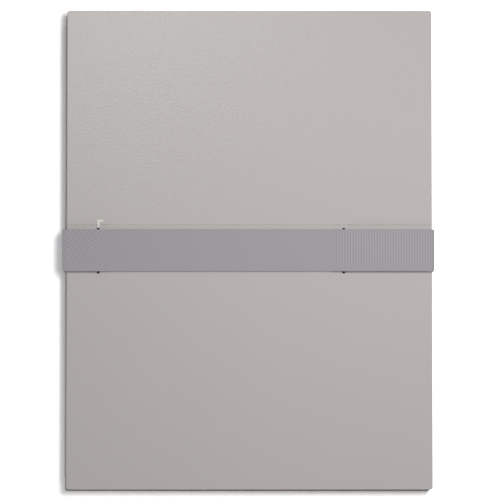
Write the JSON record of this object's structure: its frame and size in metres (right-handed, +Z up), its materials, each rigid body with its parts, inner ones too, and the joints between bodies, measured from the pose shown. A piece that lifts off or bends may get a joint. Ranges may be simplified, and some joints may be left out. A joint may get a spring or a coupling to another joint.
{
  "type": "strap portfolio",
  "caption": "Flat portfolio for loose A4 papers: covered boards, pleated cloth spine that expands, and a hook-and-loop webbing strap round the middle.",
  "frame": {"origin": "bottom centre of the closed portfolio, on the surface that it lies on", "axes": "+Y along the covers from foot to head, +X from the spine to the fore-edge, +Z up out of the front cover"},
  "size_m": [0.2484, 0.3216, 0.0164],
  "materials": {
    "board": "raw grey board",
    "cover_paper": "grey coated paper with a fine embossed leather grain, semi-gloss",
    "lining": "smooth uncoated grey lining paper",
    "gusset_cloth": "woven cotton book cloth",
    "webbing": "woven grey nylon webbing",
    "loop_pile": "brushed loop pile",
    "hook_pile": "moulded hook pile"
  },
  "bodies": {
    "back_cover": {"back_board": "board", "back_cover_paper": "cover_paper", "back_lining": "lining", "gusset_bottom_leaf": "gusset_cloth", "gusset_pleats": "gusset_cloth", "strap_back_run": "webbing", "strap_spine_link": "webbing", "strap_fore_link": "webbing"},
    "lifting_edges": {"gusset_top_panel": "gusset_cloth", "strap_fore_corner": "webbing"},
    "front_cover": {"front_board": "board", "front_cover_paper": "cover_paper", "front_lining": "lining", "front_hinge_cloth": "gusset_cloth", "strap_front_run": "webbing", "loop_patch_spine": "loop_pile", "loop_patch_fore": "loop_pile"},
    "strap_tail": {"strap_over": "webbing", "hook_patch_spine": "hook_pile", "hook_patch_fore": "hook_pile"}
  },
  "joints": [
    {"name": "spine_expand", "type": "slide", "parent": "back_cover", "child": "lifting_edges", "axis": [0, 0, 1], "range_m": [0, 0.118], "deforming": ["gusset_pleats", "strap_spine_link", "strap_fore_link"]},
    {"name": "front_cover_open", "type": "hinge", "parent": "lifting_edges", "child": "front_cover", "pos_m": [-0.1225, 0, 0.0098], "axis": [0, -1, 0], "range_deg": [0, 180], "deforming": ["strap_over", "hook_patch_spine", "hook_patch_fore", "strap_spine_link"]},
    {"name": "strap_over_open", "type": "hinge", "parent": "lifting_edges", "child": "strap_tail", "pos_m": [0.1236, 0, 0.0158], "axis": [0, 1, 0], "range_deg": [0, 180]}
  ]
}
